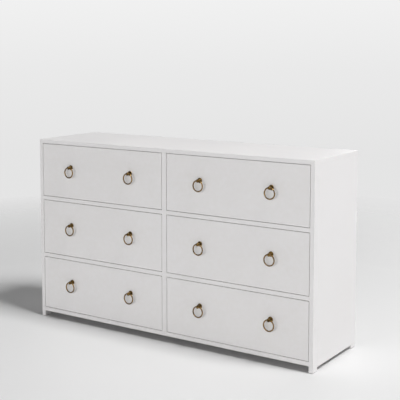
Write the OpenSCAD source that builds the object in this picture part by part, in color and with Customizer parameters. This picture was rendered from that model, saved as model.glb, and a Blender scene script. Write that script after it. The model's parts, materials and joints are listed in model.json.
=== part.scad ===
// Six-drawer dresser: a slim front frame, lacquered panels behind it, and two
// columns of three inset drawers, each drawn out by a pair of hanging rings.
// Millimetres. X runs along the width, -Y faces the user, +Z is up.
// The origin is the middle of the floor rectangle that the whole dresser covers.

/* [Carcass] */
// Overall width, side to side
width = 1524; // [1300:2:1800]
// Depth from the front faces to the back edge, without the pulls
depth = 425; // [420:1:500]
// Height of the bottom rail above the floor
floor_gap = 30; // [26:1:60]
// Height of each row's opening, from the bottom row up
row_heights = [260, 270, 264]; // [220:2:300]
// Height of each horizontal member of the front frame
rail_h = 19; // [16:1:25]
// Face width of the front posts, and thickness of the side panels
post_w = 20; // [18:1:30]
// Depth of every member of the front frame
frame_d = 42; // [30:1:50]
// Face width of the centre stile, and thickness of the partition behind it
stile_w = 25; // [20:1:40]
// Thickness of the back panel
back_t = 6; // [4:1:8]
// How far the back panel is let in from the back edge
back_inset = 10; // [6:1:14]
// Height of the side panels' lower edge above the floor
side_gap = 18.5; // [14:0.5:24]

/* [Drawers] */
// Gap all round each drawer front
front_gap = 2; // [1.5:0.5:3]
// Thickness of the drawer fronts
front_t = 18; // [16:1:22]
// Thickness of the drawer box boards
box_t = 12; // [10:1:15]
// Front-to-back length of the drawer box
box_len = 372; // [366:1:374]
// Height of the box's lower edge above the bottom of its opening
box_lift = 15; // [8:1:25]
// Height of the opening left free above the box
box_drop = 35; // [20:1:60]
// Thickness of the drawer bottoms
bottom_t = 6; // [4:1:8]
// Depth of the grooves that hold the drawer bottoms
groove_d = 6; // [4:1:7]

/* [Slides] */
// Room that each slide takes between the carcass and the box
slide_t = 13; // [12.5:0.5:14]
// Length of the slide members
slide_len = 348; // [300:1:350]
// Height of the carcass member of a slide
slide_h = 35; // [30:1:45]
// Sheet thickness of the slide members
slide_sheet = 1.2; // [1:0.1:1.5]

/* [Ring pulls] */
// Distance of the ring's axis in front of the drawer face
ring_reach = 17.5; // [16:0.5:20]
// Radius of the ring's round part, at the middle of the wire
ring_r = 24.5; // [22:0.5:28]
// Radius of the ring's wire
wire_r = 3; // [2.5:0.25:3.25]
// Radius of the knob's ball, which the ring hangs from
knob_r = 8; // [7:0.5:8]
// Distance from the drawer face to the front of the knob
knob_len = 26; // [26:0.5:28]
// Height of the ring's axis above the middle of the drawer front
ring_axis_up = 21.25; // [10:0.25:25]

/* [Feet] */
// Thickness of the round glides under the feet
glide_t = 2; // [1.5:0.5:4]
// Radius of the glides
glide_r = 8.5; // [6:0.5:9]

/* [Hidden] */
$fn = 48;
// How far a cutter reaches past what it cuts.
over = 1;
running_fit = 0.05;
glue_line = 0.2;

// The back feet stand this far inside the edges of the side panels.
foot_recess = 1.5;
foot_d = 40;
foot_w = post_w - 2 * foot_recess;

rows = len(row_heights);
row_names = ["bottom", "middle", "top"];
col_names = ["left", "right"];
col_signs = [-1, 1];

// Height of the bottom edge of a row's opening.
function opening_z(row) =
    row == 0 ? floor_gap + rail_h : opening_z(row - 1) + row_heights[row - 1] + rail_h;

// Height of the middle of a row's opening, where its slides run.
function opening_middle(row) = opening_z(row) + row_heights[row] / 2;

height = opening_z(rows - 1) + row_heights[rows - 1] + rail_h;
top_under = height - rail_h;

// The knobs reach forward of the front faces, and the origin is midway from their fronts to the back.
face_y = (knob_len - depth) / 2;
back_y = face_y + depth;
frame_back_y = face_y + frame_d;
back_panel_y = back_y - back_inset - back_t;

opening_w = (width - 2 * post_w - stile_w) / 2;
opening_x = (stile_w + opening_w) / 2;

front_w = opening_w - 2 * front_gap;
box_w = opening_w - 2 * slide_t;
box_y = face_y + front_t;
inner_w = box_w - 2 * box_t;
// Height of a drawer bottom above the lower edge of its box, and its play in the grooves.
bottom_lift = 8;
bottom_slack = 0.2;

// The slides start this far behind the drawer fronts.
slide_set_back = 4;
slide_y = face_y + front_t + slide_set_back;
// Gap between a carcass slide member and the drawer box.
slide_clear = 1.8;
slide_lip = 2.4;
drawer_slide_h = 24;
drawer_slide_depth = 8;

// Distance of each pull from the middle of its drawer front.
pull_x = front_w / 4;
// The knob's own axis is this far above the ring's.
knob_up = 0.75;
rose_t = 5;
rose_r = 12;
rose_round = 3;
neck_r = 4.5;
knob_back = 10;
knob_round = knob_r - 0.5;
// The ring leaves the knob level, and turns down once it is clear of it.
bend_clear = 0.3;
bend_start = knob_r + bend_clear;
bend_r = 2 * wire_r;
ring_drop = bend_r + sqrt(pow(ring_r - bend_r, 2) - pow(bend_start, 2));
bend_angle = asin(bend_start / (ring_r - bend_r));
ring_split = 0.5;
// The ring's ends are drawn down in two small steps, and each step runs into the next.
wire_step = 0.05;
pin_r = wire_r - 2 * wire_step;
pin_run_in = 0.5;
bend_run_in = 1;

screw_r = 2;
screw_hole_r = 2.3;
screw_depth = 10;
// The screw ends this far short of the bottom of its hole.
screw_play = 1;
screw_head_r = 4.5;
screw_head_t = 2.6;

lacquer = [0.93, 0.92, 0.91];
brass = [0.62, 0.44, 0.16];
birch = [0.85, 0.74, 0.56];
zinc = [0.72, 0.73, 0.75];
nylon = [0.35, 0.34, 0.33];

carcass_nodes = [
    "top_panel", "left_side_panel", "right_side_panel", "left_front_post", "right_front_post",
    "top_rail", "bottom_rail", "centre_stile", "upper_left_rail", "upper_right_rail",
    "lower_left_rail", "lower_right_rail", "centre_partition", "bottom_panel", "back_panel",
    "back_feet", "foot_glides", "carcass_slides"
];
drawer_pieces = ["drawer_front", "drawer_box", "drawer_bottom", "drawer_slides", "pull_knobs",
    "ring_left", "ring_right"];

// A box between two corners.
module board(low, high) {
    translate(low)
        cube(high - low);
}

// Places its children on the left and, mirrored, on the right.
module both_sides() {
    for (side = [0, 1])
        mirror([side, 0, 0])
            children();
}

// ---- Carcass ----

module top_panel() {
    color(lacquer)
        board([-width / 2, frame_back_y, top_under], [width / 2, back_y, height]);
}

// One side panel, drawn on the right, with the rebate that takes the back panel.
module side_panel() {
    color(lacquer)
        difference() {
            board([width / 2 - post_w, frame_back_y, side_gap], [width / 2, back_y, top_under]);
            board([width / 2 - post_w - over, back_panel_y, side_gap - over],
                [width / 2 - post_w / 2, back_y + over, top_under + over]);
        }
}

module left_side_panel() {
    mirror([1, 0, 0])
        side_panel();
}

module right_side_panel() {
    side_panel();
}

// One front post, drawn on the right. It runs from its glide to the top.
module front_post() {
    color(lacquer)
        board([width / 2 - post_w, face_y, glide_t], [width / 2, frame_back_y, height]);
}

module left_front_post() {
    mirror([1, 0, 0])
        front_post();
}

module right_front_post() {
    front_post();
}

// A full-width rail between the posts with its lower edge at z.
module long_rail(z) {
    color(lacquer)
        board([post_w - width / 2, face_y, z], [width / 2 - post_w, frame_back_y, z + rail_h]);
}

module top_rail() {
    long_rail(top_under);
}

module bottom_rail() {
    long_rail(floor_gap);
}

module centre_stile() {
    color(lacquer)
        board([-stile_w / 2, face_y, floor_gap + rail_h], [stile_w / 2, frame_back_y, top_under]);
}

// The rail over a row's opening, in one column.
module column_rail(row, side) {
    z = opening_z(row) + row_heights[row];
    color(lacquer)
        translate([side * opening_x, 0, 0])
            board([-opening_w / 2, face_y, z], [opening_w / 2, frame_back_y, z + rail_h]);
}

module upper_left_rail() {
    column_rail(1, -1);
}

module upper_right_rail() {
    column_rail(1, 1);
}

module lower_left_rail() {
    column_rail(0, -1);
}

module lower_right_rail() {
    column_rail(0, 1);
}

module centre_partition() {
    color(lacquer)
        board([-stile_w / 2, frame_back_y, floor_gap + rail_h], [stile_w / 2, back_panel_y, top_under]);
}

module bottom_panel() {
    color(lacquer)
        board([post_w - width / 2, frame_back_y, floor_gap],
            [width / 2 - post_w, back_panel_y, floor_gap + rail_h]);
}

module back_panel() {
    half_w = width / 2 - post_w / 2 - bottom_slack;
    color(lacquer)
        board([-half_w, back_panel_y, floor_gap], [half_w, back_panel_y + back_t, top_under]);
}

module back_feet() {
    color(lacquer)
        both_sides()
            translate([width / 2 - foot_recess - foot_w, back_y - foot_recess - foot_d, glide_t])
                cube([foot_w, foot_d, side_gap - glide_t]);
}

module foot_glides() {
    color(nylon)
        both_sides() {
            translate([width / 2 - post_w / 2, face_y + frame_d / 2, 0])
                cylinder(r = glide_r, h = glide_t);
            translate([width / 2 - post_w / 2, back_y - foot_recess - foot_d / 2, 0])
                cylinder(r = glide_r * foot_w / post_w, h = glide_t);
        }
}

// Cross-section of a carcass slide member: a channel open towards +X, its web on X = 0.
module carcass_slide_profile() {
    reach = slide_t - slide_sheet - slide_clear;
    difference() {
        translate([0, -slide_h / 2])
            square([reach, slide_h]);
        translate([slide_sheet, -slide_h / 2 + slide_sheet])
            square([reach - 2 * slide_sheet, slide_h - 2 * slide_sheet]);
        translate([reach - 2 * slide_sheet, -slide_h / 2 + slide_sheet + slide_lip])
            square([2 * slide_sheet + over, slide_h - 2 * slide_sheet - 2 * slide_lip]);
    }
}

// Cross-section of a drawer slide member: a channel open towards -X, its web against the box.
module drawer_slide_profile() {
    translate([slide_t - slide_sheet, -drawer_slide_h / 2])
        square([slide_sheet, drawer_slide_h]);
    for (low_edge = [-drawer_slide_h / 2, drawer_slide_h / 2 - slide_sheet])
        translate([slide_t - drawer_slide_depth, low_edge])
            square([drawer_slide_depth - slide_sheet / 2, slide_sheet]);
}

// Runs a slide's cross-section back from the drawer fronts.
module slide_run() {
    translate([0, slide_y + slide_len, 0])
        rotate([90, 0, 0])
            linear_extrude(height = slide_len)
                children();
}

// Both slides of one opening, each facing the drawer between them.
module slide_pair(row, col) {
    translate([col_signs[col] * opening_x, 0, opening_middle(row)])
        both_sides()
            translate([-opening_w / 2, 0, 0])
                slide_run()
                    children();
}

module carcass_slides() {
    color(zinc)
        for (row = [0 : rows - 1])
            for (col = [0, 1])
                slide_pair(row, col)
                    carcass_slide_profile();
}

// ---- Drawers ----

// Moves its children to the middle of a drawer front.
module at_front(row, col) {
    translate([col_signs[col] * opening_x, face_y, opening_middle(row)])
        children();
}

// Moves its children to the ring axis of one pull, side -1 or 1.
module at_pull(row, col, side) {
    at_front(row, col)
        translate([side * pull_x, 0, ring_axis_up])
            children();
}

// Lays a cylinder along Y, from the origin towards the back.
module bar_y(r, length) {
    rotate([-90, 0, 0])
        cylinder(r = r, h = length);
}

module drawer_front(row, col) {
    front_h = row_heights[row] - 2 * front_gap;
    color(lacquer)
        difference() {
            at_front(row, col)
                board([-front_w / 2, 0, -front_h / 2], [front_w / 2, front_t, front_h / 2]);
            for (side = [-1, 1])
                at_pull(row, col, side)
                    translate([0, -over, knob_up])
                        bar_y(screw_hole_r, front_t + 2 * over);
        }
}

// The drawer bottom's slot, cut from the boards around it.
module bottom_slot(box_z) {
    half_w = inner_w / 2 + groove_d;
    slot_z = box_z + bottom_lift;
    board([-half_w, box_y + box_t - groove_d, slot_z],
        [half_w, box_y + box_len - box_t + groove_d, slot_z + bottom_t + bottom_slack]);
}

// Four grooved boards: two sides, with the inner front and the back between them.
module drawer_box(row, col) {
    box_z = opening_z(row) + box_lift;
    box_h = row_heights[row] - box_lift - box_drop;
    color(birch)
        translate([col_signs[col] * opening_x, 0, 0]) {
            difference() {
                union() {
                    both_sides()
                        board([inner_w / 2, box_y, box_z], [box_w / 2, box_y + box_len, box_z + box_h]);
                    for (y = [box_y, box_y + box_len - box_t])
                        board([-inner_w / 2 + glue_line, y, box_z],
                            [inner_w / 2 - glue_line, y + box_t, box_z + box_h]);
                }
                bottom_slot(box_z);
                for (side = [-1, 1])
                    translate([side * pull_x, box_y - over, opening_middle(row) + ring_axis_up + knob_up])
                        bar_y(screw_hole_r, box_t + 2 * over);
            }
        }
}

module drawer_bottom(row, col) {
    box_z = opening_z(row) + box_lift;
    half_w = inner_w / 2 + groove_d - bottom_slack;
    end = groove_d - bottom_slack;
    color(birch)
        translate([col_signs[col] * opening_x, 0, 0])
            board([-half_w, box_y + box_t - end, box_z + bottom_lift],
                [half_w, box_y + box_len - box_t + end, box_z + bottom_lift + bottom_t]);
}

module drawer_slides(row, col) {
    color(zinc)
        slide_pair(row, col)
            drawer_slide_profile();
}

// ---- Ring pulls ----

// Half outline of the knob: radius against distance from the drawer face.
module knob_profile() {
    square([rose_r - rose_round, rose_t]);
    square([rose_r, rose_t - rose_round]);
    translate([rose_r - rose_round, rose_t - rose_round])
        intersection() {
            circle(r = rose_round);
            square(rose_round);
        }
    square([neck_r, knob_back + knob_round / 2]);
    translate([0, knob_back])
        square([knob_r - knob_round, knob_len - knob_back]);
    translate([0, knob_back + knob_round])
        square([knob_r, knob_len - knob_back - 2 * knob_round]);
    for (y = [knob_back + knob_round, knob_len - knob_round])
        translate([knob_r - knob_round, y])
            intersection() {
                circle(r = knob_round);
                translate([0, -knob_round])
                    square([knob_round, 2 * knob_round]);
            }
}

// One turned knob with its cross hole for the ring and its blind hole for the screw.
module knob() {
    difference() {
        translate([0, 0, knob_up])
            rotate([90, 0, 0])
                rotate_extrude()
                    knob_profile();
        translate([0, -ring_reach, 0])
            rotate([0, 90, 0])
                cylinder(r = pin_r + running_fit, h = 2 * (knob_r + over), center = true);
        translate([0, -screw_depth, knob_up])
            bar_y(screw_r + running_fit, screw_depth + over);
    }
}

// The machine screw that holds a knob through the drawer front and the box.
module knob_screw() {
    board_t = front_t + box_t;
    translate([0, -screw_depth + screw_play, knob_up])
        bar_y(screw_r, board_t + screw_depth - screw_play);
    translate([0, board_t, knob_up])
        bar_y(screw_head_r, screw_head_t);
}

module pull_knobs(row, col) {
    color(brass)
        for (side = [-1, 1])
            at_pull(row, col, side) {
                knob();
                knob_screw();
            }
}

// A stretch of round wire, of radius r, that turns about the Y axis through the origin.
module wire_arc(r, turn_r, start, angle) {
    rotate([90, 0, 0])
        rotate([0, 0, start])
            rotate_extrude(angle = angle)
                translate([turn_r, 0])
                    circle(r = r);
}

// One hanging ring: its ends turn level and meet inside the knob's cross hole.
module ring(row, col, side) {
    color(brass)
        at_pull(row, col, side)
            translate([0, -ring_reach, 0]) {
                translate([0, 0, -ring_drop])
                    wire_arc(wire_r, ring_r, 90 + bend_angle, 360 - 2 * bend_angle);
                both_sides() {
                    translate([bend_start, 0, -bend_r])
                        wire_arc(wire_r - wire_step, bend_r, 90 - bend_angle - bend_run_in,
                            bend_angle + bend_run_in);
                    translate([ring_split / 2, 0, 0])
                        rotate([0, 90, 0])
                            cylinder(r = pin_r, h = bend_start + pin_run_in - ring_split / 2);
                }
            }
}

top_panel();
left_side_panel();
right_side_panel();
left_front_post();
right_front_post();
top_rail();
bottom_rail();
centre_stile();
upper_left_rail();
upper_right_rail();
lower_left_rail();
lower_right_rail();
centre_partition();
bottom_panel();
back_panel();
back_feet();
foot_glides();
carcass_slides();

for (row = [0 : rows - 1])
    for (col = [0, 1]) {
        name = str(row_names[row], "_", col_names[col], "_");
        drawer_front(row, col);
        drawer_box(row, col);
        drawer_bottom(row, col);
        drawer_slides(row, col);
        pull_knobs(row, col);
        ring(row, col, -1);
        ring(row, col, 1);
    }
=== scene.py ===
import json
import math
from contextlib import contextmanager

import bmesh
import bpy
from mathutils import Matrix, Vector


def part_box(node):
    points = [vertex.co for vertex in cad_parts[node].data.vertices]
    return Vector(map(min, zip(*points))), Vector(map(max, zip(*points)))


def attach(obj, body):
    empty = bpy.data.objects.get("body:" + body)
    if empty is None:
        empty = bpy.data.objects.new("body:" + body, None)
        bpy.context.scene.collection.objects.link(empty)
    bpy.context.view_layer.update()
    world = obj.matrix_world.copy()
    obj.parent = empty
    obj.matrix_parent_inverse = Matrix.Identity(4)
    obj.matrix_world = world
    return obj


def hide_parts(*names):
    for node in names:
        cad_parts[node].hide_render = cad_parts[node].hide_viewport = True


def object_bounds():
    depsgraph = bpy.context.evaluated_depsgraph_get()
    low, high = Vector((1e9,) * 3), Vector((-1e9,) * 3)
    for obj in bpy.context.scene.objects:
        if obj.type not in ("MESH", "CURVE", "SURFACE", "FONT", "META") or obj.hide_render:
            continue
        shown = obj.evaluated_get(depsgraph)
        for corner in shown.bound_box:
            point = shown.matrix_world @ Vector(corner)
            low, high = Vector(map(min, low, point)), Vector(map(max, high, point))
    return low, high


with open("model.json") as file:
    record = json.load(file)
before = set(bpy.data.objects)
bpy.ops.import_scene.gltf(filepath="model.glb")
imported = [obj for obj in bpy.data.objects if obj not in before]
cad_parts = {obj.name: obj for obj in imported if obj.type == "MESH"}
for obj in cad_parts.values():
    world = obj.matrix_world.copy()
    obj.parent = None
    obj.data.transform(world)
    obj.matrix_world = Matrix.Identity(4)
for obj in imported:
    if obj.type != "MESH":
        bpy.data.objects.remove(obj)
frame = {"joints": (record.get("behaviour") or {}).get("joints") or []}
cad_low, cad_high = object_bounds()

# ---- Sizes, in metres ----

MM = 0.001
OUTER_EASE = 1.2 * MM  # rounding of the corners that a hand meets
PANEL_EASE = 0.4 * MM  # rounding along a joint that shows as a fine line
HAIRLINE = 0.12 * MM  # rounding along a joint that is filled and sanded flush
EDGE_BAND = 4 * MM  # strip along each edge where the finish can thin
NEAR = 0.01 * MM  # how close two places have to be to count as one

REBATE_W = 10 * MM  # lip of the side panel that covers the back panel's edge
NAIL_R = 1.9 * MM
NAIL_SIDE_INSET = 9 * MM  # nails in from the back panel's sides
NAIL_END_INSET = 10 * MM  # and from its top and bottom
NAILS_ACROSS = 11
NAILS_UP = 6

BOX_BOARD = 12 * MM
TAILS = 4  # dovetails on each corner of a drawer box
PIN_WIDE = 13 * MM  # wood between two tails at their roots
PIN_NARROW = 8 * MM  # and at their ends
GROOVE_SLACK = 0.2 * MM  # round the bottom sheet in its groove
TAIL_EASE = 0.25 * MM
PAST = 10 * MM  # how far a cutter runs past the board that it drills

SHEET = 1.2 * MM  # steel of the drawer slides
BEND_R = 1.8 * MM
CARCASS_CHANNEL = 10 * MM  # how far the carcass member reaches from its web
CARCASS_LIP = 3.6 * MM  # how far its edges turn in
CARCASS_MEMBER_H = 35 * MM
DRAWER_CHANNEL = 8 * MM  # how far the drawer member reaches from its web
SLOT_L = 12 * MM
SLOT_W = 5 * MM
SLOTS_AT = (0.20, 0.50, 0.80)  # shares of the slide's length
SLIDE_SCREWS_AT = (0.08, 0.35, 0.65, 0.92)
SLIDE_SCREW_R = 3.6 * MM
SLIDE_SCREW_T = 2.0 * MM

KNOB_UP = 0.75 * MM  # knob axis above the ring's axis
ROSE_R = 12 * MM
KNOB_R = 8 * MM
BALL_BACK = 10 * MM  # the ball starts and ends this far in front of the drawer
BALL_FRONT = 26 * MM
SCREW_R = 2 * MM
SCREW_HOLE_R = 2.3 * MM  # in the drawer's boards
SCREW_HEAD_R = 4.5 * MM
SCREW_HEAD_T = 2.6 * MM
SCREW_TIP = 9 * MM  # how far the screw reaches into the knob
BOARDS_T = 30 * MM  # drawer front and inner front together
PLAY = 0.05 * MM  # between a hole and what turns or screws into it

WIRE_R = 3 * MM
PIN_R = 2.9 * MM  # the wire's ends, turned down to fit the knob
PIN_TAPER = 0.6 * MM  # length over which the wire grows from its end to its full size
RING_R = 24.5 * MM  # to the middle of the wire, as each radius below
BEND_TURN_R = 6 * MM  # bend from the ring's round part into its level end
BEND_START = 8.3 * MM  # where that bend starts, out from the ring's middle
RING_SPLIT = 0.25 * MM  # half the gap between the two ends

ROWS = ("bottom", "middle", "top")
COLUMNS = ("left", "right")
HANDS = ("left", "right")
RAILS = (
    "top_rail", "bottom_rail",
    "upper_left_rail", "upper_right_rail", "lower_left_rail", "lower_right_rail",
)

# ---- Studio: lengths in metres, powers in watts ----

FLOOR_R = 12
FADE_START = 1.7  # the floor fades out between these distances
FADE_END = 4.2
FLOOR_TONE = (0.73, 0.73, 0.73, 1)
FILL_FROM_ABOVE = 0.11
FILL_FROM_BELOW = 0.65  # what the far floor would throw back
BACKDROP_LOW = (0.78, 0.78, 0.78, 1)
BACKDROP_MIDDLE = (0.82, 0.82, 0.82, 1)
BACKDROP_TOP = (0.89, 0.89, 0.89, 1)
BACKDROP_HEIGHTS = (-0.12, -0.03, 0.06)  # sines of the angles at which the three tones are reached
HORIZON = 0.02  # half the band in which the fill turns from below to above

LIGHTS_AIM = (0, 0, 0.4)
LIGHTS = (  # name, place, side, power
    ("key light", (5.0, -0.26, 9.0), 3.0, 950),
    ("front light", (-1.0, -8.0, 1.0), 3.0, 148),
    ("right front light", (3.0, -8.0, 1.2), 3.0, 50),
    ("back light", (0, 5.0, 2.5), 3.0, 37),
    ("left top light", (-1.5, 1.0, 4.0), 2.0, 16),
)

CAMERA_PLACE = (2.4546, -3.6108, 1.3863)
CAMERA_DOWN = 5.33  # degrees below level
CAMERA_TURN = 33.5  # degrees to the left of straight ahead
CAMERA_SENSOR = 36  # millimetres
CAMERA_LENS = 83.8  # millimetres
CAMERA_SHIFT = -0.18

# The outward side of a box that each name stands for: axis and direction.
BOX_SIDES = {
    "left": (0, -1), "right": (0, 1),
    "front": (1, -1), "back": (1, 1),
    "under": (2, -1), "top": (2, 1),
}


# ---- Working by hand ----

def alone(piece):
    """Makes the piece the only selected and the active object."""
    bpy.ops.object.select_all(action="DESELECT")
    piece.select_set(True)
    bpy.context.view_layer.objects.active = piece


@contextmanager
def editing(piece):
    """Edit mode on one piece alone."""
    alone(piece)
    bpy.ops.object.mode_set(mode="EDIT")
    yield
    bpy.ops.object.mode_set(mode="OBJECT")


def pick(kind, test):
    """In edit mode, selects only the VERT, EDGE or FACE elements that pass the test."""
    bpy.ops.mesh.select_mode(type=kind)
    bpy.ops.mesh.select_all(action="DESELECT")
    mesh = bpy.context.object.data
    work = bmesh.from_edit_mesh(mesh)
    for element in {"VERT": work.verts, "EDGE": work.edges, "FACE": work.faces}[kind]:
        if test(element):
            element.select_set(True)
    bmesh.update_edit_mesh(mesh)


def discard(piece):
    """Takes a model or a cutter away once it has been used."""
    alone(piece)
    bpy.ops.object.delete()


def middle(element):
    """Middle of an edge or a face."""
    points = [vert.co for vert in element.verts]
    return sum(points, Vector()) / len(points)


def settle(piece):
    """Moves the piece's place into its mesh."""
    alone(piece)
    bpy.ops.object.transform_apply(location=True, rotation=True, scale=True)


def corners(piece):
    """Lowest and highest corner of a piece's mesh."""
    points = [vert.co for vert in piece.data.vertices]
    low = Vector([min(point[axis] for point in points) for axis in range(3)])
    high = Vector([max(point[axis] for point in points) for axis in range(3)])
    return low, high


def apply(piece, kind, **settings):
    """Adds a modifier with these settings and applies it."""
    alone(piece)
    bpy.ops.object.modifier_add(type=kind)
    modifier = piece.modifiers[-1]
    for name, value in settings.items():
        setattr(modifier, name, value)
    bpy.ops.object.modifier_apply(modifier=modifier.name)


def cut(piece, cutter):
    """Takes the cutter's shape out of the piece, and the cutter away."""
    apply(piece, "BOOLEAN", operation="DIFFERENCE", object=cutter, solver="EXACT")
    discard(cutter)


def duplicate(piece, name, offset=(0, 0, 0)):
    """Another of the same piece, with its own mesh, moved by offset."""
    alone(piece)
    bpy.ops.object.duplicate(linked=False)
    other = bpy.context.object
    other.name = name
    other.location = offset
    settle(other)
    return other


def join(name, pieces):
    """Makes several pieces one object of separate closed shapes."""
    alone(pieces[0])
    for piece in pieces:
        piece.select_set(True)
    bpy.ops.object.join()
    joined = bpy.context.object
    joined.name = name
    return joined


def cube_between(name, low, high):
    """A cube stretched between two corners."""
    low, high = Vector(low), Vector(high)
    bpy.ops.object.select_all(action="DESELECT")
    bpy.ops.mesh.primitive_cube_add(size=1, location=(low + high) / 2, scale=high - low)
    piece = bpy.context.object
    piece.name = name
    settle(piece)
    return piece


def rod_along_y(radius, start, length):
    """A plain cylinder from start towards the back, used only to cut a hole."""
    bpy.ops.object.select_all(action="DESELECT")
    bpy.ops.mesh.primitive_cylinder_add(
        vertices=32, radius=radius, depth=length,
        location=Vector(start) + Vector((0, length / 2, 0)), rotation=(math.pi / 2, 0, 0))
    rod = bpy.context.object
    settle(rod)
    return rod


def smooth(piece, angle=35):
    """Smooth shading, with creases kept where faces meet at more than the angle."""
    alone(piece)
    bpy.ops.object.shade_smooth_by_angle(angle=math.radians(angle))


def face_out(piece):
    """Merges doubles and turns all faces outwards."""
    with editing(piece):
        bpy.ops.mesh.select_all(action="SELECT")
        bpy.ops.mesh.remove_doubles(threshold=0.002 * MM)
        bpy.ops.mesh.normals_make_consistent(inside=False)


def outward_corner(edge):
    """True for an edge where two faces make an outward corner."""
    return edge.is_manifold and edge.calc_face_angle_signed(0) > math.radians(20)


def sides_at(point, low, high):
    """Names of the box sides that a point lies on."""
    found = set()
    for name, (axis, way) in BOX_SIDES.items():
        edge_of_box = high[axis] if way > 0 else low[axis]
        if abs(point[axis] - edge_of_box) < NEAR:
            found.add(name)
    return found


def ease(piece, outer=OUTER_EASE, joints=None, band=EDGE_BAND):
    """Rounds a board's corners by outer, or by what joints gives for an edge's sides.

    The last of the joints whose sides all match counts. Band is the strip marked off along each edge.
    """
    joints = joints or {}
    low, high = corners(piece)

    def amount(edge):
        lies_on = sides_at(middle(edge), low, high)
        found = [ease_of for names, ease_of in joints.items() if set(names.split()) <= lies_on]
        return found[-1] if found else outer

    alone(piece)
    bpy.ops.object.shade_smooth()
    with editing(piece):
        if band:
            bpy.ops.mesh.select_all(action="SELECT")
            bpy.ops.mesh.inset(thickness=min(band, 0.3 * min(high - low)), use_individual=True)
        widest = max([outer, *joints.values()])
        for width in sorted({outer, *joints.values()}):
            pick("EDGE", lambda edge: outward_corner(edge) and amount(edge) == width)
            bpy.ops.transform.edge_bevelweight(value=width / widest)
    apply(piece, "BEVEL", limit_method="WEIGHT", width=widest, segments=3, harden_normals=True)


def turned(name, outline, around=48):
    """A turned piece standing on its foot: the outline's (height, radius) run from the foot up."""
    height, radius = outline[0]
    bpy.ops.object.select_all(action="DESELECT")
    bpy.ops.mesh.primitive_circle_add(
        vertices=around, radius=radius, fill_type="NGON", location=(0, 0, height))
    piece = bpy.context.object
    piece.name = name
    settle(piece)
    with editing(piece):
        bpy.ops.mesh.select_all(action="SELECT")
        for next_height, next_radius in outline[1:]:
            bpy.ops.mesh.extrude_region_move(
                TRANSFORM_OT_translate={"value": (0, 0, next_height - height)})
            growth = next_radius / radius
            bpy.ops.transform.resize(
                value=(growth, growth, 1), center_override=(0, 0, next_height))
            height, radius = next_height, next_radius
    face_out(piece)
    smooth(piece)
    return piece


def arc(height, radius, rise, reach, start, end, steps):
    """Points of an outline on an ellipse round (height, radius): 0 degrees is out, 90 is up."""
    points = []
    for step in range(steps + 1):
        angle = math.radians(start + (end - start) * step / steps)
        points.append((height + rise * math.sin(angle), radius + reach * math.cos(angle)))
    return points


# ---- Materials ----

def put(tree, kind, values=None, links=None, **settings):
    """Adds a node with its settings, its sockets' values and the outputs linked into them."""
    made = tree.nodes.new("ShaderNode" + kind)
    for name, value in settings.items():
        setattr(made, name, value)
    for name, value in (values or {}).items():
        made.inputs[name].default_value = value
    for name, source in (links or {}).items():
        tree.links.new(source, made.inputs[name])
    return made


def blend(tree, factor, first, second):
    """Mixes two colours by a factor. Each may be a plain colour or another node's output."""
    made = tree.nodes.new("ShaderNodeMix")
    made.data_type = "RGBA"
    sockets = {0: factor, 6: first, 7: second}
    for index, source in sockets.items():
        if isinstance(source, (tuple, float, int)):
            made.inputs[index].default_value = source
        else:
            tree.links.new(source, made.inputs[index])
    return made.outputs[2]


def spread(tree, value, from_low, from_high, to_low=0.0, to_high=1.0):
    """Stretches a value from one range to another, and clamps it."""
    made = put(
        tree, "MapRange",
        {"From Min": from_low, "From Max": from_high, "To Min": to_low, "To Max": to_high},
        {"Value": value})
    return made.outputs["Result"]


def calculate(tree, operation, first, second):
    """One sum on two values, either of which may be a plain number."""
    made = put(tree, "Math", operation=operation)
    for index, source in enumerate((first, second)):
        if isinstance(source, (float, int)):
            made.inputs[index].default_value = source
        else:
            tree.links.new(source, made.inputs[index])
    return made.outputs[0]


def new_group(name, inputs, outputs):
    """A node group with float inputs {name: default} and named outputs, and its two end nodes."""
    group = bpy.data.node_groups.new(name, "ShaderNodeTree")
    for label, default in inputs.items():
        socket = group.interface.new_socket(label, in_out="INPUT", socket_type="NodeSocketFloat")
        socket.default_value = default
    for label in outputs:
        group.interface.new_socket(label, in_out="OUTPUT", socket_type="NodeSocketFloat")
    return group, group.nodes.new("NodeGroupInput"), group.nodes.new("NodeGroupOutput")


def noise(tree, vector, scale, detail=3.0, roughness=0.5, distortion=0.0):
    """A noise value between about 0 and 1 on the given coordinates."""
    values = {"Detail": detail, "Roughness": roughness, "Distortion": distortion}
    links = {"Vector": vector}
    if isinstance(scale, (float, int)):
        values["Scale"] = scale
    else:
        links["Scale"] = scale
    return put(tree, "TexNoise", values, links).outputs["Fac"]


def object_place(tree, turn=(0, 0, 0), stretch=(1, 1, 1)):
    """Object coordinates, turned and stretched."""
    place = put(tree, "TexCoord").outputs["Object"]
    mapping = put(tree, "Mapping", {"Rotation": turn, "Scale": stretch}, {"Vector": place})
    return mapping.outputs["Vector"]


def make_edge_rub():
    """Where corners stand out and where recesses close in, broken up by noise."""
    group, given, gives = new_group(
        "edge rub", {"Start": 0.01, "Full": 0.06, "Breaks per metre": 60.0}, ["Rubbed", "Recess"])
    pointiness = put(group, "NewGeometry").outputs["Pointiness"]
    breaks = noise(group, object_place(group), given.outputs["Breaks per metre"])
    patches = spread(group, breaks, 0.3, 0.6)
    for label, operation in (("Rubbed", "ADD"), ("Recess", "SUBTRACT")):
        start = calculate(group, operation, 0.5, given.outputs["Start"])
        full = calculate(group, operation, 0.5, given.outputs["Full"])
        ramp = put(group, "MapRange", {}, {"Value": pointiness, "From Min": start, "From Max": full})
        mask = calculate(group, "MULTIPLY", ramp.outputs["Result"], patches)
        group.links.new(mask, gives.inputs[label])
    return group


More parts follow.
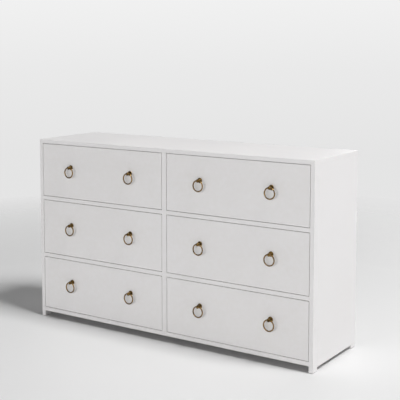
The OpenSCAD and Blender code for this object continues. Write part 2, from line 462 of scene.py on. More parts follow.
def make_skin():
    """The unevenness of a sprayed or cast surface: fine peel, broad waves, cloudy patches, flecks."""
    group, given, gives = new_group(
        "skin", {"Peel per metre": 400.0, "Waves per metre": 12.0, "Peel": 0.5},
        ["Height", "Cloud", "Fleck"])
    place = object_place(group)
    peel = noise(group, place, given.outputs["Peel per metre"], 2.0)
    waves = noise(group, place, given.outputs["Waves per metre"], 2.0)
    cloud = noise(group, place, 2.3, 4.0)
    fleck = noise(group, place, 900.0, 1.0)
    share = calculate(group, "MULTIPLY", peel, given.outputs["Peel"])
    group.links.new(calculate(group, "ADD", share, waves), gives.inputs["Height"])
    group.links.new(cloud, gives.inputs["Cloud"])
    group.links.new(fleck, gives.inputs["Fleck"])
    return group


edge_rub = make_edge_rub()
skin = make_skin()


def place_group(tree, group, **values):
    """Places a node group with its inputs set, underscores for spaces, and gives its outputs."""
    made = tree.nodes.new("ShaderNodeGroup")
    made.node_tree = group
    for name, value in values.items():
        made.inputs[name.replace("_", " ")].default_value = value
    return made.outputs


def new_material(name, **plain):
    """A material with one Principled shader, its plain values set on the shader itself."""
    material = bpy.data.materials.new(name)
    material.use_nodes = True
    tree = material.node_tree
    shader = tree.nodes["Principled BSDF"]
    for socket, value in plain.items():
        shader.inputs[socket.replace("_", " ")].default_value = value
    return material, tree, shader


def add_bump(tree, shader, height, strength, distance):
    """Feeds a height into the shader's normal."""
    bump = put(tree, "Bump", {"Strength": strength, "Distance": distance}, {"Height": height})
    tree.links.new(bump.outputs["Normal"], shader.inputs["Normal"])


def make_lacquer(name, white, warm, rough_low, rough_high, peel_height):
    """Sprayed white lacquer, a little warmer and glossier where it thins over the edges."""
    thin = (0.70, 0.66, 0.60, 1)
    material, tree, shader = new_material(name, IOR=1.5)
    surface = place_group(tree, skin, Peel_per_metre=320.0, Waves_per_metre=9.0, Peel=0.35)
    edges = place_group(tree, edge_rub, Start=0.004, Full=0.09, Breaks_per_metre=45.0)
    clouded = blend(tree, spread(tree, surface["Cloud"], 0.3, 0.7), white, warm)
    thinned = blend(tree, calculate(tree, "MULTIPLY", edges["Rubbed"], 0.3), clouded, thin)
    tree.links.new(thinned, shader.inputs["Base Color"])
    satin = spread(tree, surface["Cloud"], 0.25, 0.75, rough_low, rough_high)
    worn = calculate(tree, "SUBTRACT", satin, calculate(tree, "MULTIPLY", edges["Rubbed"], 0.08))
    tree.links.new(worn, shader.inputs["Roughness"])
    add_bump(tree, shader, surface["Height"], 0.35, peel_height)
    return material


def make_birch(name, turn, pale, dark, ring_scale):
    """Birch with its grain along one direction, sealed with a thin clear coat."""
    pore_brown = (0.28, 0.17, 0.08, 1)
    material, tree, shader = new_material(name, IOR=1.45, Coat_Weight=0.12, Coat_Roughness=0.3)
    place = object_place(tree, turn=turn, stretch=(1, 6, 6))
    along = object_place(tree, turn=turn, stretch=(1, 14, 14))
    finest = object_place(tree, turn=turn, stretch=(1, 22, 22))
    drift = noise(tree, place, 1.6, 2.0)
    fibre = noise(tree, along, 38.0, 6.0, 0.65)
    pore = spread(tree, noise(tree, finest, 60.0, 2.0), 0.60, 0.72)
    rings = put(
        tree, "TexWave", {"Scale": ring_scale, "Distortion": 5.0, "Detail": 2.0, "Detail Scale": 0.8},
        {"Vector": place}, bands_direction="Z").outputs["Fac"]
    ring_share = calculate(tree, "MULTIPLY", rings, 0.45)
    fibre_share = calculate(tree, "MULTIPLY", fibre, 0.5)
    drift_share = calculate(tree, "MULTIPLY", drift, 0.4)
    tone = calculate(tree, "ADD", drift_share, calculate(tree, "ADD", ring_share, fibre_share))
    wood = blend(tree, spread(tree, tone, 0.35, 1.0), pale, dark)
    pored = blend(tree, calculate(tree, "MULTIPLY", pore, 0.35), wood, pore_brown)
    tree.links.new(pored, shader.inputs["Base Color"])
    tree.links.new(spread(tree, fibre, 0.3, 0.7, 0.42, 0.58), shader.inputs["Roughness"])
    add_bump(tree, shader, calculate(tree, "SUBTRACT", fibre, pore), 0.25, 0.12 * MM)
    return material


def make_brass(name, gold, patina_and_dark_reflection, cover_low, cover_high, polish):
    """Aged brass: bright metal on rubbed corners, a near-black brown elsewhere that is partly real
    patina and partly painted dark reflection of the surroundings, and dark recesses.
    """
    spot_brown, deep_brown = (0.05, 0.028, 0.012, 1), (0.02, 0.012, 0.006, 1)
    material, tree, shader = new_material(name)
    surface = place_group(tree, skin, Peel_per_metre=700.0, Waves_per_metre=90.0, Peel=0.3)
    edges = place_group(tree, edge_rub, Start=0.01, Full=0.07, Breaks_per_metre=180.0)
    place = object_place(tree)
    stain = noise(tree, place, 70.0, 5.0, 0.6, 0.6)
    spots = spread(tree, noise(tree, place, 420.0, 3.0), 0.58, 0.70)
    # aged marks where the near-black brown goes: partly real patina, partly painted dark reflection
    aged = spread(tree, calculate(tree, "SUBTRACT", stain, edges["Rubbed"]), cover_low, cover_high)
    metal = blend(tree, aged, gold, patina_and_dark_reflection)
    spotted = blend(tree, calculate(tree, "MULTIPLY", spots, 0.5), metal, spot_brown)
    deep = blend(tree, edges["Recess"], spotted, deep_brown)
    tree.links.new(deep, shader.inputs["Base Color"])
    dull = calculate(tree, "MAXIMUM", aged, edges["Recess"])
    tree.links.new(spread(tree, dull, 0.0, 1.0, polish, polish + 0.16), shader.inputs["Roughness"])
    tree.links.new(spread(tree, edges["Recess"], 0.0, 1.0, 1.0, 0.7), shader.inputs["Metallic"])
    add_bump(tree, shader, surface["Height"], 0.3, 0.05 * MM)
    return material


def make_zinc():
    """Zinc-plated steel with cloudy plating, faint drawing marks and grease in its recesses."""
    light_zinc, dark_zinc = (0.60, 0.61, 0.63, 1), (0.50, 0.52, 0.55, 1)
    rubbed_bright, grease = (0.74, 0.75, 0.76, 1), (0.20, 0.19, 0.17, 1)
    material, tree, shader = new_material("zinc plated steel")
    surface = place_group(tree, skin, Peel_per_metre=500.0, Waves_per_metre=60.0, Peel=0.4)
    edges = place_group(tree, edge_rub, Start=0.01, Full=0.08, Breaks_per_metre=120.0)
    marks = noise(tree, object_place(tree, stretch=(1, 0.02, 1)), 900.0, 2.0)
    plated = blend(tree, spread(tree, surface["Cloud"], 0.3, 0.7), light_zinc, dark_zinc)
    bright = blend(tree, calculate(tree, "MULTIPLY", edges["Rubbed"], 0.5), plated, rubbed_bright)
    greased = blend(tree, calculate(tree, "MULTIPLY", edges["Recess"], 0.6), bright, grease)
    tree.links.new(greased, shader.inputs["Base Color"])
    tree.links.new(spread(tree, marks, 0.3, 0.7, 0.24, 0.40), shader.inputs["Roughness"])
    tree.links.new(spread(tree, edges["Recess"], 0.0, 1.0, 1.0, 0.8), shader.inputs["Metallic"])
    add_bump(tree, shader, calculate(tree, "ADD", surface["Height"], marks), 0.2, 0.04 * MM)
    return material


def make_nylon():
    """Dull grey nylon, scuffed paler on its rim."""
    dark_grey, light_grey = (0.055, 0.053, 0.050, 1), (0.085, 0.082, 0.078, 1)
    scuff = (0.22, 0.21, 0.20, 1)
    material, tree, shader = new_material("scuffed nylon", IOR=1.5)
    surface = place_group(tree, skin, Peel_per_metre=900.0, Waves_per_metre=120.0, Peel=0.6)
    edges = place_group(tree, edge_rub, Start=0.01, Full=0.06, Breaks_per_metre=260.0)
    grey = blend(tree, surface["Fleck"], dark_grey, light_grey)
    scuffed = blend(tree, calculate(tree, "MULTIPLY", edges["Rubbed"], 0.6), grey, scuff)
    tree.links.new(scuffed, shader.inputs["Base Color"])
    tree.links.new(spread(tree, surface["Fleck"], 0.3, 0.7, 0.5, 0.7), shader.inputs["Roughness"])
    add_bump(tree, shader, surface["Height"], 0.4, 0.08 * MM)
    return material


white_lacquer = make_lacquer(
    "satin white lacquer", white=(0.87, 0.857, 0.860, 1), warm=(0.855, 0.84, 0.838, 1),
    rough_low=0.30, rough_high=0.42, peel_height=0.06 * MM)
back_lacquer = make_lacquer(
    "rolled white back", white=(0.78, 0.77, 0.75, 1), warm=(0.72, 0.71, 0.69, 1),
    rough_low=0.50, rough_high=0.65, peel_height=0.15 * MM)
birch_front_to_back = make_birch(
    "birch, grain front to back", turn=(0, 0, math.radians(90)),
    pale=(0.75, 0.62, 0.45, 1), dark=(0.64, 0.49, 0.32, 1), ring_scale=2.2)
birch_across = make_birch(
    "birch, grain across", turn=(0, 0, 0),
    pale=(0.76, 0.63, 0.46, 1), dark=(0.65, 0.50, 0.33, 1), ring_scale=2.2)
birch_sheet = make_birch(
    "birch sheet", turn=(math.radians(90), 0, 0),
    pale=(0.77, 0.65, 0.49, 1), dark=(0.68, 0.54, 0.38, 1), ring_scale=1.3)
# Both patina tones are near black: partly real patina, partly painted dark reflection of the
# surroundings.
knob_brass = make_brass(
    "aged brass, turned", gold=(0.34, 0.21, 0.07, 1), patina_and_dark_reflection=(0.038, 0.022, 0.009, 1),
    cover_low=0.28, cover_high=0.60, polish=0.24)
ring_brass = make_brass(
    "aged brass, drawn wire", gold=(0.30, 0.19, 0.075, 1), patina_and_dark_reflection=(0.050, 0.030, 0.013, 1),
    cover_low=0.30, cover_high=0.60, polish=0.22)
zinc_steel = make_zinc()
glide_nylon = make_nylon()


def belongs(piece, body, material, slot, *nodes):
    """Gives a finished piece its body and its finish, and hides the parts of the nodes that it stands
    for.

    With no material, the piece keeps those that its parts brought.
    """
    if material:
        piece.data.materials.clear()
        piece.data.materials.append(material)
    piece.data.name = piece.name
    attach(piece, body)
    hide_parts(*nodes)


# ---- Carcass ----

def lacquered_board(node, joints, material=white_lacquer):
    """A plain lacquered board of the carcass with eased corners, in the place of its node."""
    board = cube_between(node + "_lacquered", *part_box(node))
    ease(board, joints=joints)
    belongs(board, "carcass", material, "white_lacquer", node)


def side_panel(hand):
    """A side panel: its back edge is cut down to a lip that covers the back panel."""
    node = hand + "_side_panel"
    low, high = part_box(node)
    back_panel_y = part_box("back_panel")[0].y
    lip_depth = high.y - back_panel_y
    lip_x = high.x - REBATE_W if hand == "right" else low.x + REBATE_W
    outer_way = 1 if hand == "right" else -1
    panel = cube_between(node + "_lacquered", low, (high.x, back_panel_y, high.z))
    with editing(panel):
        bpy.ops.mesh.select_all(action="SELECT")
        bpy.ops.mesh.bisect(plane_co=(lip_x, 0, 0), plane_no=(1, 0, 0))
        pick("FACE", lambda face: face.normal.y > 0.9 and (middle(face).x - lip_x) * outer_way > 0)
        bpy.ops.mesh.extrude_region_move(TRANSFORM_OT_translate={"value": (0, lip_depth, 0)})
    ease(panel, joints={"top": PANEL_EASE}, band=3 * MM)
    belongs(panel, "carcass", white_lacquer, "white_lacquer", node)


def nail_head():
    """A small domed nail head, facing the back."""
    outline = [(0, NAIL_R * 0.9), *arc(0.15 * MM, 0, 0.65 * MM, NAIL_R, 0, 80, 4)]
    head = turned("nail", outline, around=16)
    head.rotation_euler = (-math.pi / 2, 0, 0)
    settle(head)
    return head


def back_panel_nails():
    """The nails round the edge of the back panel and down the partition behind it."""
    low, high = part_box("back_panel")
    left, right = low.x + NAIL_SIDE_INSET, high.x - NAIL_SIDE_INSET
    bottom, top = low.z + NAIL_END_INSET, high.z - NAIL_END_INSET
    places = []
    for step in range(NAILS_ACROSS):
        x = left + (right - left) * step / (NAILS_ACROSS - 1)
        places += [(x, bottom), (x, top)]
    for step in range(1, NAILS_UP):
        z = bottom + (top - bottom) * step / NAILS_UP
        places += [(left, z), (0, z), (right, z)]
    model = nail_head()
    nails = [duplicate(model, "nail", (x, high.y, z)) for x, z in places]
    discard(model)
    belongs(join("back_panel_nails", nails), "carcass", zinc_steel, "zinc_steel")


def back_feet():
    """The two short feet under the side panels' back ends."""
    low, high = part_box("back_feet")
    panel_low, panel_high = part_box("right_side_panel")
    set_in = cad_high.x - high.x
    foot_w = panel_high.x - panel_low.x - 2 * set_in
    feet = [
        cube_between("left_foot", low, (low.x + foot_w, high.y, high.z)),
        cube_between("right_foot", (high.x - foot_w, low.y, low.z), high),
    ]
    for foot in feet:
        ease(foot, joints={"top": HAIRLINE})
    belongs(join("back_feet_lacquered", feet), "carcass", white_lacquer, "white_lacquer", "back_feet")


def foot_glide(radius, thickness):
    """A nylon glide with a rounded tread and a dimple in the middle."""
    tread = 0.6 * thickness
    outline = [
        (0.7 * MM, 1.0 * MM), (0.6 * MM, 1.7 * MM), (0, 2.2 * MM),
        (0, radius - tread), *arc(tread, radius - tread, tread, tread, -60, 0, 4),
        (0.8 * thickness, radius), (thickness, radius - 0.3 * MM),
    ]
    return turned("glide", outline)


def foot_glides():
    """The four glides: two under the posts, and two smaller ones under the back feet."""
    low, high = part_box("foot_glides")
    post_low, post_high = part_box("right_front_post")
    foot_low, foot_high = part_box("back_feet")
    post_y = (post_low.y + post_high.y) / 2
    foot_y = (foot_low.y + foot_high.y) / 2
    front_r = post_y - low.y
    glides = []
    for radius, y in ((front_r, post_y), (0.85 * front_r, foot_y)):
        model = foot_glide(radius, high.z - low.z)
        for way in (-1, 1):
            x = way * (post_low.x + post_high.x) / 2
            glides.append(duplicate(model, "glide", (x, y, low.z)))
        discard(model)
    belongs(join("foot_glides_nylon", glides), "carcass", glide_nylon, "glide_nylon", "foot_glides")


# ---- Drawer slides ----

def cross_recess(place, head_r, depth):
    """Cutters for a cross recess in a screw head that faces +Z."""
    slot_w = head_r * 0.22
    arm = head_r * 0.62
    for long_x, long_y in ((arm, slot_w), (slot_w, arm)):
        reach = Vector((long_x, long_y, depth))
        yield cube_between("recess", Vector(place) - reach, Vector(place) + reach)


def pan_head(name, head_r, head_t):
    """A pan head with a cross recess, standing on its flat side and facing +Z."""
    outline = [
        (0, head_r * 0.96), (head_t * 0.12, head_r),
        *arc(head_t * 0.3, head_r * 0.45, head_t * 0.7, head_r * 0.55, 0, 88, 6),
        (head_t, head_r * 0.1),
    ]
    head = turned(name, outline, around=24)
    for cutter in cross_recess((0, 0, head_t), head_r, head_t * 0.5):
        cut(head, cutter)
    smooth(head)
    return head


def slide_channel(name, length, height, reach, lip):
    """A rolled steel channel with its web on X = 0, open towards +X, running back from Y = 0."""
    bpy.ops.object.select_all(action="DESELECT")
    bpy.ops.mesh.primitive_plane_add(
        size=1, location=(0, length / 2, 0), rotation=(0, math.pi / 2, 0))
    channel = bpy.context.object
    channel.name = name
    channel.scale = (height, length, 1)
    settle(channel)
    bends = (0.0, reach) if lip else (0.0,)

    def is_bend(edge):
        point = middle(edge)
        lengthwise = abs(point.y - length / 2) < NEAR
        on_bend = min(abs(point.x - bend) for bend in bends) < NEAR
        return lengthwise and on_bend and abs(abs(point.z) - height / 2) < NEAR

    def is_web_edge(edge, z):
        return abs(middle(edge).z - z) < NEAR and abs(middle(edge).x) < NEAR

    with editing(channel):
        for way in (-1, 1):
            pick("EDGE", lambda edge: is_web_edge(edge, way * height / 2))
            bpy.ops.mesh.extrude_region_move(TRANSFORM_OT_translate={"value": (reach, 0, 0)})
            if lip:
                bpy.ops.mesh.extrude_region_move(
                    TRANSFORM_OT_translate={"value": (0, 0, -way * lip)})
        pick("EDGE", is_bend)
        bpy.ops.mesh.bevel(offset=BEND_R, segments=4, affect="EDGES")
        bpy.ops.mesh.select_all(action="SELECT")
        bpy.ops.mesh.normals_make_consistent(inside=False)
    web = max(channel.data.polygons, key=lambda face: face.area)
    inwards = -1.0 if web.normal.x < 0 else 1.0
    apply(channel, "SOLIDIFY", thickness=SHEET, offset=inwards, use_even_offset=True)
    face_out(channel)
    return channel


def slot_cutter(place, length, width):
    """A cutter for a round-ended slot along Y through a channel's web."""
    bpy.ops.object.select_all(action="DESELECT")
    bpy.ops.mesh.primitive_cylinder_add(
        vertices=24, radius=width / 2, depth=6 * SHEET, location=place, rotation=(0, math.pi / 2, 0))
    cutter = bpy.context.object
    settle(cutter)
    stretch = (length - width) / 2
    with editing(cutter):
        for way in (-1, 1):
            pick("VERT", lambda vert: (vert.co.y - place[1]) * way > 0.001 * MM)
            bpy.ops.transform.translate(value=(0, way * stretch, 0))
    return cutter


def slide_member(name, length, height, reach, lip=0):
    """One slide member with its punched slots and the screws that hold it, facing +X."""
    member = slide_channel(name, length, height, reach, lip)
    for share in SLOTS_AT:
        cut(member, slot_cutter((SHEET / 2, share * length, 0), SLOT_L, SLOT_W))
    smooth(member, 30)
    model = pan_head("slide_screw", SLIDE_SCREW_R, SLIDE_SCREW_T)
    model.rotation_euler = (0, math.pi / 2, 0)
    settle(model)
    heads = [duplicate(model, "slide_screw", (SHEET, share * length, 0)) for share in SLIDE_SCREWS_AT]
    discard(model)
    return join(name, [member, *heads])


def mirrored(piece):
    """A mirror image across X = 0, with its faces turned outwards again."""
    other = duplicate(piece, piece.name + "_mirrored")
    other.scale = (-1, 1, 1)
    settle(other)
    face_out(other)
    smooth(other, 30)
    return other


def slide_pair(left, right, left_x, right_x, node):
    """Copies of a left and a right member, with their webs at left_x and right_x, level with a node."""
    front_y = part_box("top_left_drawer_slides")[0].y
    low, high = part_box(node)
    z = (low.z + high.z) / 2
    return [
        duplicate(left, "member", (left_x, front_y, z)),
        duplicate(right, "member", (right_x, front_y, z)),
    ]


def make_slides():
    """Twelve slides: a member on the wood beside each opening, and one on each side of a drawer box."""
    low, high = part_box("top_left_drawer_slides")
    length, height = high.y - low.y, high.z - low.z
    # A left carcass member and a right drawer member both face right.
    carcass_left = slide_member(
        "carcass_member", length, CARCASS_MEMBER_H, CARCASS_CHANNEL, CARCASS_LIP)
    carcass_right = mirrored(carcass_left)
    drawer_right = slide_member("drawer_member", length, height, DRAWER_CHANNEL)
    drawer_left = mirrored(drawer_right)
    # The wood beside an opening starts one gap past the drawer front's edge.
    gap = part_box("top_left_drawer_front")[0].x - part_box("left_front_post")[1].x

    carcass_members = []
    for row in ROWS:
        for column in COLUMNS:
            body = f"{row}_{column}_drawer"
            low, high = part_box(body + "_front")
            carcass_members += slide_pair(
                carcass_left, carcass_right, low.x - gap, high.x + gap, body + "_front")
            low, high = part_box(body + "_box")
            node = body + "_slides"
            pair = slide_pair(drawer_left, drawer_right, low.x, high.x, node)
            belongs(join(node + "_steel", pair), body, zinc_steel, "zinc_steel", node)
    slides = join("carcass_slides_steel", carcass_members)
    belongs(slides, "carcass", zinc_steel, "zinc_steel", "carcass_slides")
    for model in (carcass_left, carcass_right, drawer_left, drawer_right):
        discard(model)


# ---- Drawers ----

def tail_heights(low_z, high_z):
    """For each dovetail: its middle height, and half its height at its root and at its end."""
    pitch = (high_z - low_z) / TAILS
    return [
        (low_z + pitch * (index + 0.5), (pitch - PIN_WIDE) / 2, (pitch - PIN_NARROW) / 2)
        for index in range(TAILS)
    ]


def box_side(low, high, hand):
    """A side board of a drawer box, with its tails flared at both ends."""
    x0, x1 = (low.x, low.x + BOX_BOARD) if hand == "left" else (high.x - BOX_BOARD, high.x)
    tails = tail_heights(low.z, high.z)
    board = cube_between("box_side", (x0, low.y + BOX_BOARD, low.z), (x1, high.y - BOX_BOARD, high.z))
    with editing(board):
        for centre, root, _ in tails:
            for z in (centre - root, centre + root):
                bpy.ops.mesh.select_all(action="SELECT")
                bpy.ops.mesh.bisect(plane_co=(0, 0, z), plane_no=(0, 0, 1))
        for way, y in ((-1, low.y), (1, high.y)):
            for centre, root, end in tails:
                pick("FACE", lambda face: face.normal.y * way > 0.9
                     and abs(middle(face).z - centre) < root / 2)
                bpy.ops.mesh.extrude_region_move(
                    TRANSFORM_OT_translate={"value": (0, way * BOX_BOARD, 0)})
                bpy.ops.transform.resize(
                    value=(1, 1, end / root), center_override=((x0 + x1) / 2, y, centre))
    return board


def box_end(low, high, way):
    """The inner front (way -1) or the back (way 1) of a drawer box, with the pins between the tails."""
    y0, y1 = (low.y, low.y + BOX_BOARD) if way < 0 else (high.y - BOX_BOARD, high.y)
    tails = tail_heights(low.z, high.z)
    board = cube_between("box_end", (low.x + BOX_BOARD, y0, low.z), (high.x - BOX_BOARD, y1, high.z))
    outer_y = y0 if way < 0 else y1
    with editing(board):
        for centre, root, end in tails:
            for up in (-1, 1):
                outer = Vector((0, outer_y, centre + up * end))
                slope = Vector((0, -way * BOX_BOARD, up * (root - end)))
                bpy.ops.mesh.select_all(action="SELECT")
                bpy.ops.mesh.bisect(plane_co=outer, plane_no=(0, -slope.z, slope.y))
        for side in (-1, 1):
            pick("FACE", lambda face: face.normal.x * side > 0.9
                 and not any(abs(middle(face).z - centre) < root / 2 for centre, root, _ in tails))
            bpy.ops.mesh.extrude_region_move(
                TRANSFORM_OT_translate={"value": (side * BOX_BOARD, 0, 0)})
    return board


def rings_of(row, column):
    """The joints of a drawer's two rings, left one first."""
    names = [f"{row}_{column}_ring_{hand}_swing" for hand in HANDS]
    return [joint for name in names for joint in frame["joints"] if joint["name"] == name]


def drill_for_knobs(board, row, column):
    """Drills a board of a drawer for the screws of its two knobs."""
    low, high = corners(board)
    for ring in rings_of(row, column):
        place = Vector(ring["pos_m"])
        start = (place.x, low.y - PAST, place.z + KNOB_UP)
        cut(board, rod_along_y(SCREW_HOLE_R, start, high.y - low.y + 2 * PAST))


def drawer_box(row, column):
    """Four dovetailed birch boards, grooved for the drawer bottom and drilled for the knob screws."""
    body = f"{row}_{column}_drawer"
    node = body + "_box"
    low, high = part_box(node)
    sheet_low, sheet_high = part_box(body + "_bottom")
    groove_low = sheet_low - Vector((GROOVE_SLACK, GROOVE_SLACK, 0))
    groove_high = sheet_high + Vector((GROOVE_SLACK, GROOVE_SLACK, GROOVE_SLACK))
    boards = [box_side(low, high, hand) for hand in HANDS]
    boards += [box_end(low, high, way) for way in (-1, 1)]
    finishes = [birch_front_to_back] * 2 + [birch_across] * 2
    for board, finish in zip(boards, finishes):
        ease(board, outer=TAIL_EASE, joints={"top": 1.0 * MM, "under": 0.6 * MM}, band=0)
        cut(board, cube_between("groove", groove_low, groove_high))
        board.data.materials.append(finish)
    inner_front = boards[2]
    drill_for_knobs(inner_front, row, column)
    belongs(join(node + "_birch", boards), body, None, "drawer_birch", node)


def drawer(row, column):
    """One drawer: its lacquered front, its birch box and its bottom sheet."""
    body = f"{row}_{column}_drawer"
    node = body + "_front"
    front = cube_between(node + "_lacquered", *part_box(node))
    ease(front, outer=1.0 * MM, joints={"back": PANEL_EASE})
    drill_for_knobs(front, row, column)
    belongs(front, body, white_lacquer, "white_lacquer", node)
    drawer_box(row, column)
    node = body + "_bottom"
    sheet = cube_between(node + "_birch", *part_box(node))
    ease(sheet, outer=0.3 * MM, band=0)
    belongs(sheet, body, birch_sheet, "drawer_birch", node)


# ---- Ring pulls ----

def turned_knob():
    """A knob turned on its axis, from its stepped rose to its ball."""
    ball_rise = (BALL_FRONT - BALL_BACK) / 2
    outline = [
        (0, ROSE_R - 0.4 * MM), (0.4 * MM, ROSE_R),
        # the rose's rim and the step in front of it
        *arc(1.0 * MM, ROSE_R - 0.7 * MM, 0.7 * MM, 0.7 * MM, -10, 90, 5),
        (1.6 * MM, ROSE_R - 1.4 * MM),
        *arc(2.2 * MM, ROSE_R - 2.1 * MM, 0.6 * MM, 0.6 * MM, -40, 90, 5),
        # the sweep up to the neck, the neck's hollow and the collar
        *arc(5.0 * MM, ROSE_R - 2.8 * MM, 2.1 * MM, -4.2 * MM, -88, 0, 7),
        *arc(7.5 * MM, 5.0 * MM, 2.0 * MM, -1.0 * MM, -75, 75, 8),
        *arc(10.3 * MM, 4.0 * MM, 0.6 * MM, 0.7 * MM, -90, 90, 6),
        # the ball
        *arc(BALL_BACK + ball_rise, 0, ball_rise, KNOB_R, -58, 87, 26),
    ]
    knob = turned("knob", outline, around=64)
    knob.rotation_euler = (math.pi / 2, 0, 0)
    knob.location = (0, 0, KNOB_UP)
    settle(knob)
    return knob


def drilled_knob(reach):
    """The knob with its cross hole for the ring, reach in front of the foot, and its screw hole."""
    knob = turned_knob()
    bpy.ops.object.select_all(action="DESELECT")
    bpy.ops.mesh.primitive_cylinder_add(
        vertices=32, radius=PIN_R + PLAY, depth=3 * KNOB_R, location=(0, -reach, 0),
        rotation=(0, math.pi / 2, 0))
    hole = bpy.context.object
    settle(hole)
    cut(knob, hole)
    depth = SCREW_TIP + 1 * MM
    cut(knob, rod_along_y(SCREW_R + PLAY, (0, -depth, KNOB_UP), depth + 1 * MM))
    smooth(knob, 30)
    return knob


def knob_screw():
    """The pan-head machine screw that holds a knob, its head inside the drawer."""
    shank_end = SCREW_TIP + BOARDS_T
    rim = 0.8 * MM  # height of the head's upright rim
    outline = [
        (0, SCREW_R * 0.7), (0.5 * MM, SCREW_R), (shank_end, SCREW_R),
        (shank_end + 0.02 * MM, SCREW_HEAD_R * 0.96), (shank_end + 0.3 * MM, SCREW_HEAD_R),
        *arc(shank_end + rim, SCREW_HEAD_R * 0.45, SCREW_HEAD_T - rim, SCREW_HEAD_R * 0.55, 0, 88, 6),
        (shank_end + SCREW_HEAD_T, SCREW_HEAD_R * 0.1),
    ]
    screw = turned("screw", outline, around=32)
    for cutter in cross_recess((0, 0, shank_end + SCREW_HEAD_T), SCREW_HEAD_R, 1.2 * MM):
        cut(screw, cutter)
    screw.rotation_euler = (-math.pi / 2, 0, 0)
    screw.location = (0, -SCREW_TIP, KNOB_UP)
    settle(screw)
    smooth(screw, 30)
    return screw


def wire_ring():
    """A ring bent from round wire, its two level ends almost meeting inside the knob."""
    round_part = RING_R - BEND_TURN_R
    drop = BEND_TURN_R + math.sqrt(round_part ** 2 - BEND_START ** 2)
    bend = math.asin(BEND_START / round_part)
    pin_length = BEND_START - PIN_TAPER - RING_SPLIT
    grow = WIRE_R / PIN_R
    bpy.ops.object.select_all(action="DESELECT")
    bpy.ops.mesh.primitive_circle_add(
        vertices=24, radius=PIN_R, location=(RING_SPLIT, 0, 0), rotation=(0, math.pi / 2, 0))
    ring = bpy.context.object
    ring.name = "ring"
    settle(ring)
    turns = [
        (5, bend, (BEND_START, 0, -BEND_TURN_R)),
        (72, 2 * math.pi - 2 * bend, (0, 0, -drop)),
        (5, bend, (-BEND_START, 0, -BEND_TURN_R)),
    ]
    with editing(ring):
        bpy.ops.mesh.select_all(action="SELECT")
        for move in (pin_length, PIN_TAPER):
            bpy.ops.mesh.extrude_region_move(TRANSFORM_OT_translate={"value": (move, 0, 0)})
        bpy.ops.transform.resize(value=(1, grow, grow), center_override=(BEND_START, 0, 0))
        for steps, angle, centre in turns:
            bpy.ops.mesh.spin(steps=steps, angle=-angle, center=centre, axis=(0, 1, 0))
        bpy.ops.mesh.extrude_region_move(TRANSFORM_OT_translate={"value": (PIN_TAPER, 0, 0)})
        bpy.ops.transform.resize(
            value=(1, 1 / grow, 1 / grow), center_override=(PIN_TAPER - BEND_START, 0, 0))
        bpy.ops.mesh.extrude_region_move(TRANSFORM_OT_translate={"value": (pin_length, 0, 0)})
        for way in (-1, 1):
            pick("VERT", lambda vert: abs(vert.co.x - way * RING_SPLIT) < 0.05 * MM
                 and abs(vert.co.z) < 2 * PIN_R)
            bpy.ops.mesh.edge_face_add()
    face_out(ring)
    smooth(ring, 50)
    return ring


def make_pulls():
    """Two knobs with their screws on each drawer, and the ring that swings in each."""
    face_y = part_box("bottom_left_drawer_front")[0].y
    ring_axis_y = rings_of("bottom", "left")[0]["pos_m"][1]
    knob, screw, ring = drilled_knob(face_y - ring_axis_y), knob_screw(), wire_ring()
    for row in ROWS:
        for column in COLUMNS:
            body = f"{row}_{column}_drawer"
            node = f"{row}_{column}_pull_knobs"
            for hand, joint in zip(HANDS, rings_of(row, column)):
                x, y, z = joint["pos_m"]
                brass = duplicate(knob, f"{row}_{column}_knob_{hand}", (x, face_y, z))
                belongs(brass, body, knob_brass, "aged_brass", node)
                steel = duplicate(screw, f"{row}_{column}_knob_screw_{hand}", (x, face_y, z))
                belongs(steel, body, zinc_steel, "zinc_steel", node)
                ring_node = f"{row}_{column}_ring_{hand}"
                wire = duplicate(ring, ring_node + "_brass", (x, y, z))
                belongs(wire, joint["child"], ring_brass, "aged_brass", ring_node)
    for model in (knob, screw, ring):
        discard(model)


# ---- Studio ----

def make_floor():
    """A pale floor that fades out into the backdrop far from the dresser."""
    bpy.ops.object.select_all(action="DESELECT")
    bpy.ops.mesh.primitive_circle_add(vertices=96, radius=FLOOR_R, fill_type="NGON")
    floor = bpy.context.object
    floor.name = "studio_floor"
    material, tree, shader = new_material("pale studio floor", Base_Color=FLOOR_TONE, Roughness=0.6)
    distance = put(tree, "VectorMath", {}, {0: object_place(tree)}, operation="LENGTH").outputs["Value"]
    fade = spread(tree, distance, FADE_START, FADE_END)
    clear = put(tree, "BsdfTransparent").outputs[0]
    mixed = put(tree, "MixShader", {}, {0: fade, 1: shader.outputs[0], 2: clear})
    tree.links.new(mixed.outputs[0], tree.nodes["Material Output"].inputs["Surface"])
    floor.data.materials.append(material)


def make_world():
    """A soft light that comes mostly from below, and a backdrop that brightens towards the top."""
    world = bpy.data.worlds.new("studio")
    bpy.context.scene.world = world
    world.use_nodes = True
    tree = world.node_tree
    direction = put(tree, "TexCoord").outputs["Generated"]
    height = put(tree, "SeparateXYZ", {}, {"Vector": direction}).outputs["Z"]
    fill = spread(tree, height, -HORIZON, HORIZON, FILL_FROM_BELOW, FILL_FROM_ABOVE)
    light = tree.nodes["Background"]
    light.inputs["Color"].default_value = (1, 1, 1, 1)
    tree.links.new(fill, light.inputs["Strength"])
    low, middle_height, top = BACKDROP_HEIGHTS
    lower = blend(tree, spread(tree, height, low, middle_height), BACKDROP_LOW, BACKDROP_MIDDLE)
    seen = blend(tree, spread(tree, height, middle_height, top), lower, BACKDROP_TOP)
    backdrop = put(tree, "Background", {}, {"Color": seen}).outputs[0]
    is_seen = put(tree, "LightPath").outputs["Is Camera Ray"]
    mixed = put(tree, "MixShader", {}, {0: is_seen, 1: light.outputs[0], 2: backdrop})
    tree.links.new(mixed.outputs[0], tree.nodes["World Output"].inputs["Surface"])


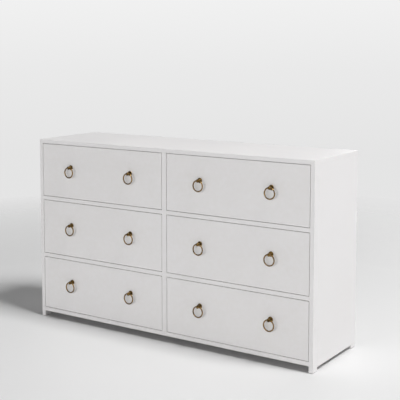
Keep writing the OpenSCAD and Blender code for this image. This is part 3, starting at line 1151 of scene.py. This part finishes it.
def soft_box(name, place, side, power):
    """A square studio light pointed at the dresser."""
    bpy.ops.object.select_all(action="DESELECT")
    turn = (Vector(LIGHTS_AIM) - Vector(place)).to_track_quat("-Z", "Y").to_euler()
    bpy.ops.object.light_add(type="AREA", location=place, rotation=turn)
    light = bpy.context.object
    light.name = name
    light.data.size = side
    light.data.energy = power


def make_camera():
    """The camera, in front of the dresser to its right and a little above it."""
    turn = (math.radians(90 - CAMERA_DOWN), 0, math.radians(CAMERA_TURN))
    bpy.ops.object.select_all(action="DESELECT")
    bpy.ops.object.camera_add(location=CAMERA_PLACE, rotation=turn)
    camera = bpy.context.object
    camera.data.sensor_width = CAMERA_SENSOR
    camera.data.lens = CAMERA_LENS
    camera.data.shift_y = CAMERA_SHIFT
    bpy.context.scene.camera = camera


# ---- The dresser, in the order that it is put together ----

lacquered_board("top_panel", {"under": PANEL_EASE, "front": HAIRLINE})
for hand in HANDS:
    side_panel(hand)
    inner = "right" if hand == "left" else "left"
    lacquered_board(hand + "_front_post", {
        inner: PANEL_EASE, "back top": HAIRLINE, inner + " top": HAIRLINE, inner + " front": HAIRLINE})
for rail in RAILS:
    joints = {"front": PANEL_EASE, "back": PANEL_EASE, "left": HAIRLINE, "right": HAIRLINE}
    if rail == "top_rail":
        joints["back top"] = HAIRLINE
        joints["front top"] = OUTER_EASE
    lacquered_board(rail, joints)
lacquered_board("centre_stile", {"front": PANEL_EASE, "top": HAIRLINE, "under": HAIRLINE})
lacquered_board("centre_partition", {"top": HAIRLINE, "under": HAIRLINE, "front": HAIRLINE})
lacquered_board("bottom_panel", {"left": HAIRLINE, "right": HAIRLINE, "front": HAIRLINE})
lacquered_board("back_panel", {side: PANEL_EASE for side in BOX_SIDES}, back_lacquer)
back_feet()
foot_glides()
back_panel_nails()
for column in COLUMNS:
    for row in ROWS:
        drawer(row, column)
make_slides()
make_pulls()

make_floor()
make_world()
for light in LIGHTS:
    soft_box(*light)
make_camera()
bpy.context.scene.view_settings.view_transform = "Standard"
